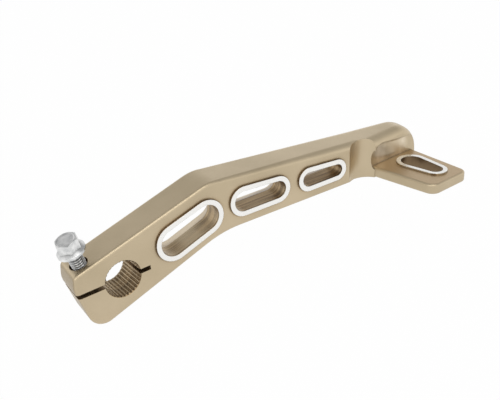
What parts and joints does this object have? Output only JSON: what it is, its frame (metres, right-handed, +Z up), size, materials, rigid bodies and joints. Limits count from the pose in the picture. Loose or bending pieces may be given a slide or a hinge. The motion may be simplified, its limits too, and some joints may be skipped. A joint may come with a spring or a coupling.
{
  "type": "kick start lever",
  "caption": "Cranked kick start lever with a split splined clamp hub, a clamp bolt, rimmed lightening slots and a fixed foot pedal.",
  "frame": {"origin": "on the axis of the splined bore, level with the front face of the arm", "axes": "+Y along the bore, from the front face towards the back, +X along the arm towards the pedal, +Z up"},
  "size_m": [0.1644, 0.0414, 0.0462],
  "materials": {
    "lever_casting": "cast aluminium with a satin bronze coating; the slot rims are machined bare",
    "bolt_steel": "bright zinc plated steel"
  },
  "bodies": {
    "root": {"lever": "lever_casting", "clamp_bolt": "bolt_steel"}
  },
  "joints": []
}
